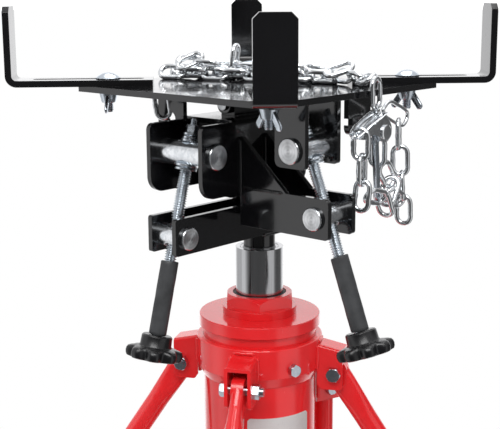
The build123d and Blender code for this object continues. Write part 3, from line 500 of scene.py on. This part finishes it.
def wing(run, drop, thick):
    """One cast wing: a blunt bar that leaves the hub's shoulder and slopes steeply down."""
    slope = atan2(drop, run)
    up = Vector((sin(slope), 0, cos(slope)))
    rings = []
    for k in range(15):
        t = k / 14
        centre = Vector((4.5 * MM + run * t, 0, -3.5 * MM - drop * t))
        blunt = sqrt(max(0.03, 1 - max(0.0, (t - 0.86) / 0.145) ** 2))
        half, width = 3.9 * MM * blunt, thick * (1.3 - 0.35 * t) * blunt
        section = [2 * pi * j / 24 for j in range(24)]
        rings.append([centre + up * (half * squared(cos(a))) + Vector((0, width * squared(sin(a)), 0))
                      for a in section])
    return loft(rings)


def wing_nuts():
    """A tapered hub under the plate with two drooping wings, each nut left at its own turn."""
    hub = [(5.1 * MM, 0), (9.6 * MM, 0), (10.4 * MM, -0.8 * MM), (8.2 * MM, -10.6 * MM),
           (7.4 * MM, -12 * MM), (5.1 * MM, -12 * MM)]
    for name, turn in WING_TURN.items():
        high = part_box(f"wing_nut_{name}")[1]
        place = Matrix.Translation(corner_point(name) + UP * high.z)
        place = place @ Matrix.Rotation(radians(turn), 4, "Z")
        nut = Shape().add(lathe(hub, 40, bored=True), place)
        for side in (0, pi):
            nut.add(wing(13.5 * MM, 18.5 * MM, 1.8 * MM), place @ Matrix.Rotation(side, 4, "Z"))
        piece = nut.build(f"cast_wing_nut_{name}", ZINC, f"nut_{name}", sharp=50)
        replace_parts(piece, f"wing_nut_{name}")


carriage_bolts()
wing_nuts()


# ---------------------------------------------------------------- tilt screws
SCREWS = ("front", "side")
SCREW_R = 6.35 * MM
SCREW_PITCH = 2.54 * MM
STUD_R = 3.0 * MM
STUD_PITCH = 1.25 * MM
WASHERS = ((-14.5, 2.55, 9.8), (-17.8, 2.55, 9.4), (-21.0, 2.38, 9.0),
           (11.5, 2.55, 12.0), (14.8, 2.55, 11.6))
TOP_NUT = {"across": 12.5 * MM, "height": 8.4 * MM, "bore": 2.8 * MM, "at": -29.7 * MM}
KNOB_LOBES = 8


def screw_frame(side):
    """Origin on the upper trunnion's axis, +Z down the rod."""
    turn = joint(f"{side}_screw_turn")
    return axis_frame(turn["pos_m"], turn["axis"])


def screw_hardware(side):
    """The threaded rod with its thin upper end, its washers and its top nut."""
    place = screw_frame(side)
    rod = Shape()
    rod.add(threaded_rod(SCREW_R, -21 * MM, 207 * MM, SCREW_PITCH, 1.3 * MM), place)
    rod.add(threaded_rod(STUD_R, -37 * MM, -20 * MM, STUD_PITCH, 0.45 * MM), place)
    for start, thick, r in WASHERS:
        lie = Matrix.Translation((0, 0, start * MM)) @ Matrix.Rotation(radians(1.6 * sin(start)), 4, "X")
        rod.add(washer(r * MM, SCREW_R - 0.05 * MM, thick * MM), place @ lie)
    nut = hex_nut(TOP_NUT["across"], TOP_NUT["height"], TOP_NUT["bore"], both=True)
    rod.add(nut, place @ Matrix.Translation((0, 0, TOP_NUT["at"])))
    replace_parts(rod.build(f"{side}_threaded_rod", THREAD_ZINC, f"{side}_screw"), f"{side}_tilt_screw")


def grip_sleeve(side):
    """A cut length of rubber tube, a little uneven, its ends not quite square."""
    start, length, outer, inner = 113 * MM, 77 * MM, 9.2 * MM, 6.6 * MM
    seed = 3.0 if side == "front" else 8.0

    def ring(r, t):
        points = []
        for j in range(40):
            a = 2 * pi * j / 40
            wobble = noise.noise(Vector((cos(a) * 1.5, sin(a) * 1.5, t * 7 + seed))) * 0.22 * MM
            skew = 0.5 * MM * cos(a + seed) * (1 - 2 * t)
            z = start + length * t + skew
            points.append(Vector(((r + wobble) * cos(a), (r + wobble) * sin(a), z)))
        return points

    rings = [ring(inner, 0.012), ring(outer - 0.7 * MM, 0.0), ring(outer, 0.012)]
    rings += [ring(outer, t / 24) for t in range(1, 24)]
    rings += [ring(outer, 0.988), ring(outer - 0.7 * MM, 1.0), ring(inner, 0.988)]
    sleeve = Shape().add(loft(rings, loop=True), screw_frame(side))
    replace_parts(sleeve.build(f"{side}_grip_sleeve", RUBBER, f"{side}_screw"), f"{side}_screw_sleeve")


def star_knob(side):
    """A star knob: a plain hub, then eight rounded fingers round a dished rim."""
    n = 160

    def lobes(depth):
        return lambda a: 1 - depth * (0.5 - 0.5 * cos(KNOB_LOBES * a)) ** 1.8

    start, rim, end = 190.4 * MM, 203 * MM, 216 * MM
    hub = ((6.6, 0.6), (14.6, 0), (16, 1.4), (16.4, 10.6), (17.6, 12.2))
    fingers = ((21.0, 0.2, 0.02), (25.5, 1.1, 0.1), (28.4, 2.4, 0.16), (29.6, 4.4, 0.19),
               (30.0, 7.0, 0.2), (29.5, 10.0, 0.2), (28.2, 12.2, 0.18), (25.4, 13.0, 0.12))
    dish = ((17, 0), (15, -1.0), (11, -2.2), (10, -2.6), (6.6, -2.8), (6.4, -9.6))
    rings = [circle(r * MM, start + z * MM, n) for r, z in hub]
    rings += [circle(r * MM, rim + z * MM, n, lobes(depth)) for r, z, depth in fingers]
    rings += [circle(r * MM, end + z * MM, n) for r, z in dish]
    knob = Shape().add(loft(rings), screw_frame(side))
    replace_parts(knob.build(f"{side}_star_knob", PLASTIC, f"{side}_screw"), f"{side}_screw_knob")


for side in SCREWS:
    screw_hardware(side)
    grip_sleeve(side)
    star_knob(side)


# ---------------------------------------------------------------- chain
LINK_LENGTH = 36 * MM
LINK_WIDTH = 21 * MM
WIRE_R = 2.75 * MM
LINK_PITCH = LINK_LENGTH - 4 * WIRE_R
VIEW_TURN = radians(41.7)
ACROSS = Vector((cos(VIEW_TURN), sin(VIEW_TURN), 0))
BACK = Vector((-sin(VIEW_TURN), cos(VIEW_TURN), 0))


def link_surface():
    """One welded link, long along X and flat in XY, its weld swelling one side a little."""
    half = LINK_LENGTH / 2 - LINK_WIDTH / 2
    bend = LINK_WIDTH / 2 - WIRE_R
    path = []
    for k in range(10):
        a = -pi / 2 + pi * k / 9
        path.append((half + bend * cos(a), bend * sin(a), 0))
    path += [(half * (1 - 2 * k / 4), bend, 0) for k in range(1, 4)]
    for k in range(10):
        a = pi / 2 + pi * k / 9
        path.append((-half + bend * cos(a), bend * sin(a), 0))
    path += [(-half * (1 - 2 * k / 4), -bend, 0) for k in range(1, 4)]

    def radius(i):
        return WIRE_R * (1.13 if i == 11 else 1.0)

    return sweep(path, radius, sides=12, loop=True)


LINK = link_surface()


def hang_links(shape, points, first_roll, roll_step, hint, jitter=0.0, seed=1):
    """Links between neighbouring points, each turned a step more about the chain."""
    dice = Random(seed)
    for i, (a, b) in enumerate(zip(points, points[1:])):
        along = (b - a).normalized()
        side = Vector(hint).cross(along).normalized()
        basis = Matrix((along, side, along.cross(side))).transposed().to_4x4()
        roll = first_roll + roll_step * i + dice.uniform(-jitter, jitter)
        turn = Matrix.Rotation(radians(roll), 4, "X")
        shape.add(LINK, Matrix.Translation((a + b) / 2) @ basis @ turn)


def on_plate(across, back, height):
    """A point over the saddle plate, in millimetres across and behind its centre."""
    return ACROSS * (across * MM) + BACK * (back * MM) + UP * (SADDLE_TOP + height * MM)


def chain_on_plate():
    """The loose heap: one chain laid to and fro in slanting rows, higher at its left end."""
    rows = ((-111, 88, 20, 8.3, 8.3), (90, -112, 35, 8.3, 8.3), (-104, 76, 46, 8.3, 8.3),
            (70, -88, 26, 12, 18), (-92, -34, 38, 19, 15))
    dice = Random(12)
    path = []
    for start, end, middle, low, high in rows:
        for k in range(5):
            across = start + (end - start) * k / 4
            back = middle - 0.42 * across + dice.uniform(-5, 5)
            path.append(on_plate(across, back, low + (high - low) * k / 4))
    pile = Shape()
    hang_links(pile, spaced(smooth_path(path), LINK_PITCH), 45, 90, UP, jitter=18, seed=5)
    loose = ((-27, 40, 24, 82, -20), (-78, 52, 21, 24, 40), (86, -24, 17, 18, 30), (66, 0, 15, -8, 20))
    for across, back, height, lift, roll in loose:
        place = Matrix.Translation(on_plate(across, back, height)) @ Matrix.Rotation(VIEW_TURN, 4, "Z")
        turn = Matrix.Rotation(radians(-lift), 4, "Y") @ Matrix.Rotation(radians(roll), 4, "X")
        pile.add(LINK, place @ turn)
    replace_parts(pile.build("chain_pile", CHAIN_ZINC, "saddle"), "chain_heap")


def chain_to_edge():
    """The run that leaves the heap, crosses the plate and hangs one link over its edge."""
    edge_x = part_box("saddle_plate")[1].x / MM
    points = ((66, 56, 9), (88, 49, 9), (108, 40, 9), (124, 29, 9.5), (edge_x - 4, 19, 11.5),
              (edge_x + 6, 13, 12))
    path = smooth_path([Vector((x * MM, y * MM, SADDLE_TOP + z * MM)) for x, y, z in points])
    run = Shape()
    hang_links(run, spaced(path, LINK_PITCH), 40, 90, UP, 8, 2)
    run.add(LINK, link_place(edge_x + 8.5, 12.5, -2, 3, 98))
    run.add(LINK, link_place(-86, -64, -24, 10, 42))
    run.build("chain_over_edge", CHAIN_ZINC, "saddle")


def link_place(x, y, z, tilt, roll):
    """A link on end beside the plate: tilted in the YZ plane, then turned about its own length."""
    lay = Matrix.Rotation(radians(tilt), 4, "X") @ Matrix.Rotation(radians(roll), 4, "Z")
    stand = Matrix.Rotation(radians(90), 4, "Y")
    flat = Matrix.Rotation(radians(90), 4, "Z")
    return Matrix.Translation((x * MM, y * MM, SADDLE_TOP + z * MM)) @ lay @ flat @ stand


def hanging_chain():
    """Both ends of the chain below the tightener, link by link: (x, y, height, tilt, turn)."""
    left = ((152, -17, -51, 0, 15), (154, -17, -77, 0, 105), (156, -19, -103, -8, 10),
            (157, 3, -107, 76, 60))
    middle = ((147, 19, -63, 0, 15), (151, 31, -88, 38, 80), (152, 34, -106, -28, 25),
              (154, 22, -117, 24, 10), (153, 43, -114, 62, 65))
    right = ((152, 49, -48, 2, 120), (152, 53, -76, 3, 30), (152, 58, -104, 6, 125),
             (152, 61, -130, 4, 15))
    runs = Shape()
    for link in left + middle + right:
        runs.add(LINK, link_place(*link))
    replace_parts(runs.build("hanging_chain", CHAIN_ZINC, "tightener"), "chain_strands")


# ---------------------------------------------------------------- chain tightener
TIGHTENER_X = 146
RIVET_Y = 17.5
RIVET_HEIGHT = -42


def beside(y, z, x=0.0):
    """A point in the tightener's plane; height is measured from the saddle's face."""
    return Vector(((TIGHTENER_X + x) * MM, y * MM, SADDLE_TOP + z * MM))


def facing_side(x):
    """The frame of a plate that faces +X: its X is Y, its Y is height."""
    axes = Matrix(((0, 0, 1), (1, 0, 0), (0, 1, 0))).to_4x4()
    return Matrix.Translation((x * MM, 0, SADDLE_TOP)) @ axes


def open_channel(path, outer, wall, gap_at, gap):
    """A sheet rolled into an open channel along a path; gap_at and gap are angles about the path."""
    rings = []
    for i, point in enumerate(path):
        ahead, behind = path[min(i + 1, len(path) - 1)], path[max(i - 1, 0)]
        along = (ahead - behind).normalized()
        up = along.cross(Vector((1, 0, 0))).normalized()
        grow = min(1.0, 0.72 + 0.1 * min(i, len(path) - 1 - i))
        angles = [gap_at + gap / 2 + (2 * pi - gap) * k / 22 for k in range(23)]
        spokes = [Vector((1, 0, 0)) * cos(a) + up * sin(a) for a in angles]
        ring = [point + spoke * outer * grow for spoke in spokes]
        ring += [point + spoke * (outer - wall) * grow for spoke in reversed(spokes)]
        rings.append(ring)
    return loft(rings)


def tightener_body():
    """A rolled channel with a riveted cheek below it and a wire bail at its upper end."""
    body = Shape()
    path = smooth_path([beside(-29, -41, 6), (beside(-6, -29, 6)), beside(21, -20, 6)], 4 * MM)
    body.add(open_channel(path, 7.4 * MM, 1.6 * MM, radians(-38), radians(118)))
    cheek = ((-26, -45), (-14, -38), (2, -29), (15, -24), (23, -29), (28, -36), (28.5, -44), (24, -50),
             (18, -52.5), (11, -51), (5, -45), (-4, -43), (-16, -46))
    outline = smooth_path([Vector((y * MM, z * MM, 0)) for y, z in cheek + cheek[:1]], 2.5 * MM)[:-1]
    outline = [(p.x, p.y) for p in outline]
    for x in (147.0, 155.4):
        body.add(slab(outline, 2.4 * MM, 0.7 * MM), facing_side(x))
    rivet = ((3.4, -11), (3.4, 0), (7.6, 0), (8.2, 0.5), (8.2, 1.6), (7.4, 2.3), (6.2, 2.5), (3.0, 2.2),
             (0.4, 2.1))
    rivet_tail = ((0.4, -12.6), (7.5, -12.4), (7.5, -11.2), (0.4, -11))
    place = facing_side(157.8) @ Matrix.Translation((RIVET_Y * MM, RIVET_HEIGHT * MM, 0))
    for profile in (rivet, rivet_tail):
        body.add(lathe([(r * MM, z * MM) for r, z in profile], 40), place)
    bail = ((18, -19), (25, -13.5), (31, -12), (38, -14), (58, -23), (62, -27), (61, -33), (56, -38),
            (49, -38.5), (33, -31.5), (22, -26))
    points = [beside(y, z, 7.5) for y, z in bail]
    path = smooth_path(points + points[:1], 2 * MM)[:-1]
    body.add(sweep(path, 2.0 * MM, 12, loop=True))
    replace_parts(body.build("tightener_channel", CHAIN_ZINC, "tightener", sharp=45), "binder_body")


def tightener_arm():
    """The plain flat lever hanging from the rivet, narrowing to a rounded lower end."""
    arm = Shape()
    outline = ((25, -44), (23, -37), (16, -35), (7, -38), (3.6, -43), (3.8, -52), (9.2, -108),
               (12.5, -113), (16.4, -109), (15.6, -100), (11.4, -54), (12, -49), (22, -49))
    arm.add(slab([(y * MM, z * MM) for y, z in outline], 4.4 * MM, 1.1 * MM), facing_side(150))
    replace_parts(arm.build("tightener_lever_bar", ZINC, "tightener_lever", sharp=35), "binder_lever")


chain_on_plate()
chain_to_edge()
hanging_chain()
tightener_body()
tightener_arm()


# ---------------------------------------------------------------- welds
def weld(shape, points, radius, seed=1.0):
    """A laid bead: overlapping ripples of slightly uneven width."""
    path = smooth_path([Vector(p) * MM for p in points], 0.8 * MM)

    def width(i):
        ripple = 0.86 + 0.14 * abs(sin(i * 0.9 + seed))
        end = min(1.0, 0.35 + 0.2 * min(i, len(path) - 1 - i))
        drift = 1 + 0.18 * noise.noise(path[i] * 90 + Vector((seed, 0, 0)))
        return radius * MM * ripple * end * drift

    shape.add(sweep(path, width, 10))


def upward(*points):
    """Points whose heights are measured from the saddle's face, in millimetres."""
    return [(x, y, SADDLE_TOP / MM + z) for x, y, z in points]


def head_welds():
    """Beads on the cradle, under the saddle plate and on the yoke."""
    cradle = Shape()
    for y in (-74.2, -68.3, -35.2, -29.3):
        weld(cradle, upward((40.2, y, -108), (40.2, y, -49)), 2.2, y)
    for x in (-9.8, 9.8):
        weld(cradle, upward((x, -49, -30.2), (x, 29, -30.2)), 2.2, x)
    for y in (-74.2, -68.3):
        weld(cradle, upward((42, y, -99.6), (97, y, -99.6)), 1.9, y)
    cradle.build("cradle_weld_beads", BLACK, "cradle")
    saddle = Shape()
    under = -PLATE_T / MM - 0.3
    for y in (-80.2, -74.3, -29.2, -23.3):
        weld(saddle, upward((93, y, under), (131, y, under)), 2.2, y)
    for y in (-56.2, -49.8, 29.8, 36.2):
        weld(saddle, upward((-19, y, under), (19, y, under)), 2.2, y)
    weld(saddle, upward((-96, -60.2, under), (-58, -60.2, under)), 2.0, 3)
    for x in (118.8, 125.2):
        weld(saddle, upward((x, -1, under), (x, 35, under)), 2.0, x)
    saddle.build("saddle_weld_beads", BLACK, "saddle")
    yoke = Shape()
    for x in (-20.4, 20.4):
        weld(yoke, upward((x, -17, -164.8), (x, 17, -164.8)), 2.0, x)
    yoke.build("yoke_weld_beads", BLACK, "yoke")


BASE_TURN = 27.5
PUMP_TURN = BASE_TURN + 135.0


def around(turn, r, s, z):
    """A point at radius r and sideways s, on a bearing from -Y towards +X; z is above the floor."""
    a = radians(turn)
    return (r * sin(a) + s * cos(a), -r * cos(a) + s * sin(a), z)


def base_welds():
    """Beads where the legs, braces, pump block and reservoir meet, and at the casters."""
    beads = Shape()
    top = SADDLE_TOP / MM
    for k in range(4):
        turn = BASE_TURN + 90 * k
        for s in (-14, 14):
            side = 15.2 if s > 0 else -15.2
            weld(beads, [around(turn, 70.3, side, top - z) for z in (290, 305, 318)], 2.2, k + s)
        weld(beads, [around(turn, 71.0 - s * s / 150, s, top - 286.8) for s in (-12, 0, 12)], 2.2, k)
        for s, z in ((-25, (114, 140)), (25, (114, 140))):
            weld(beads, [around(turn, 75.6, s, height) for height in z], 2.4, k + s)
        weld(beads, [around(turn, 75.6, s, 142.2) for s in (-23, 23)], 2.4, k)
        for s in (-12.8, -7.2, 7.2, 12.8):
            weld(beads, [around(turn, r, s, 142.1) for r in (378, 410)], 1.7, k + s)
    for s in (-15.2, 15.2):
        weld(beads, [around(PUMP_TURN, 70.5, s, top - z) for z in (334, 350, 374)], 2.2, s)
    weld(beads, [around(PUMP_TURN, 75.8, s, 150.2) for s in (-30, 30)], 2.4, 5)
    for s in (-32.2, 32.2):
        weld(beads, [around(PUMP_TURN, 75.8, s, z) for z in (108, 146)], 2.4, s)
    ring = [around(a, 64.6, 0, 165.4) for a in range(0, 360, 8)]
    weld(beads, ring + ring[:1], 2.6, 2)
    beads.build("base_weld_beads", RED, "base")


head_welds()
base_welds()


# ---------------------------------------------------------------- blank label
def blank_label():
    """A thin unprinted label wrapped round the front of the reservoir."""
    high = SADDLE_TOP - 364 * MM
    lift = 0.28 * MM
    rings = []
    for k in range(33):
        turn = 29 + 68.5 * k / 32
        inset = 3.0 * MM * (1 - min(1.0, min(k, 32 - k) / 1.5)) ** 2
        low = inset - 108 * MM
        section = ((0.0, -inset), (lift, -inset - 0.15 * MM), (lift, low), (0.0, low))
        rings.append([Vector(around(turn, 64.0 + out / MM, 0, 0)) * MM + UP * (high + dz)
                      for out, dz in section])
    label = Shape().add(loft(rings))
    label.build("reservoir_label", STICKER, "base", sharp=60)


blank_label()


# ---------------------------------------------------------------- camera, light and floor
CAMERA_TURN = radians(41.66)
CAMERA_PITCH = radians(11.89)
CAMERA_LENS = 81.76
CAMERA_SENSOR = 36
CAMERA_YAW = radians(0.475)
CAMERA_ROLL = radians(0.32)
CAMERA_DISTANCE = 1.2454
CAMERA_ABOVE_PLATE = 0.11575


def place_camera():
    """The photograph's viewpoint, looking a little down on the head."""
    data = bpy.data.cameras.new("camera")
    data.sensor_width = CAMERA_SENSOR
    data.lens = CAMERA_LENS
    data.clip_start = 0.05
    data.clip_end = 200
    camera = bpy.data.objects.new("camera", data)
    bpy.context.scene.collection.objects.link(camera)
    toward = Vector((sin(CAMERA_TURN), -cos(CAMERA_TURN), 0))
    camera.location = toward * CAMERA_DISTANCE + UP * (SADDLE_TOP + CAMERA_ABOVE_PLATE)
    heading = Matrix.Rotation(CAMERA_YAW, 3, "Z") @ -toward
    look = heading * cos(CAMERA_PITCH) - UP * sin(CAMERA_PITCH)
    right = look.cross(UP).normalized()
    basis = Matrix((right, right.cross(look), -look)).transposed()
    camera.rotation_euler = (basis @ Matrix.Rotation(-CAMERA_ROLL, 3, "Z")).to_euler()
    bpy.context.scene.camera = camera


def softbox(name, azimuth, elevation, distance, size, power, target=(0, 0, 0.8)):
    """A rectangular light that faces the target; azimuth 0 is at -Y, 90 at +X."""
    data = bpy.data.lights.new(name, "AREA")
    data.shape = "RECTANGLE"
    data.size, data.size_y = size
    data.energy = power
    light = bpy.data.objects.new(name, data)
    bpy.context.scene.collection.objects.link(light)
    a, e = radians(azimuth), radians(elevation)
    away = Vector((sin(a) * cos(e), -cos(a) * cos(e), sin(e)))
    light.location = Vector(target) + away * distance
    light.rotation_euler = away.to_track_quat("Z", "Y").to_euler()


def studio_world():
    """White all round and overhead, with dark stretches at eye level that the metal mirrors."""
    levels = ((-180, 0.8), (-168, 1.0), (-114, 1.0), (-98, 0.55), (-58, 0.55), (-48, 0.8),
              (-36, 0.8), (-18, 0.22), (3, 0.075), (70, 0.075), (80, 0.58), (114, 0.58),
              (124, 0.1), (164, 0.1), (180, 0.8))
    world = bpy.data.worlds.new("studio")
    bpy.context.scene.world = world
    world.use_nodes = True
    tree = world.node_tree
    tree.nodes.clear()

    def add(kind, **links):
        node = tree.nodes.new("ShaderNode" + kind)
        for key, socket in links.items():
            tree.links.new(socket, node.inputs[key.replace("_", " ")])
        return node

    def arithmetic(operation, *values):
        node = tree.nodes.new("ShaderNodeMath")
        node.operation = operation
        for slot, value in zip(node.inputs, values):
            if isinstance(value, float):
                slot.default_value = value
            else:
                tree.links.new(value, slot)
        return node.outputs[0]

    way = add("SeparateXYZ", Vector=add("TexCoord").outputs["Generated"]).outputs
    bearing = arithmetic("ARCTAN2", way["X"], arithmetic("MULTIPLY", way["Y"], -1.0))
    bearing = arithmetic("ADD", arithmetic("DIVIDE", bearing, 2 * pi), 0.5)
    ring = add("ValToRGB", Fac=bearing)
    stops = ring.color_ramp.elements
    while len(stops) < len(levels):
        stops.new(0.5)
    for stop, (degree, level) in zip(stops, levels):
        stop.position = degree / 360 + 0.5
        stop.color = (level, level, level * 1.01, 1)
    height = add("MapRange", Value=way["Z"])
    height.interpolation_type = "SMOOTHSTEP"
    height.inputs["From Min"].default_value = 0.3
    height.inputs["From Max"].default_value = 0.62
    sky = add("MixRGB", Fac=height.outputs["Result"], Color1=ring.outputs["Color"])
    sky.inputs["Color2"].default_value = (0.62, 0.62, 0.63, 1)
    seen = add("MixRGB", Fac=add("LightPath").outputs["Is Camera Ray"], Color1=sky.outputs["Color"])
    seen.inputs["Color2"].default_value = (1, 1, 1, 1)
    light = add("Background", Color=seen.outputs["Color"])
    light.inputs["Strength"].default_value = 1.3
    add("OutputWorld", Surface=light.outputs["Background"])


def lay_floor():
    """A wide pale floor; mirrored rays pass it and meet the studio instead."""
    mesh = bpy.data.meshes.new("floor")
    size = 30.0
    corners = [(-size, -size, 0), (size, -size, 0), (size, size, 0), (-size, size, 0)]
    mesh.from_pydata(corners, [], [(0, 1, 2, 3)])
    mesh.materials.append(pale_floor("pale_floor"))
    floor = bpy.data.objects.new("floor", mesh)
    bpy.context.scene.collection.objects.link(floor)
    floor.visible_glossy = False


place_camera()
studio_world()
lay_floor()
softbox("key", 35, 48, 2.4, (1.8, 1.3), 44)
softbox("top", 215, 72, 2.2, (1.6, 1.6), 16)
bpy.context.scene.view_settings.view_transform = "Standard"
bpy.context.scene.view_settings.look = "None"
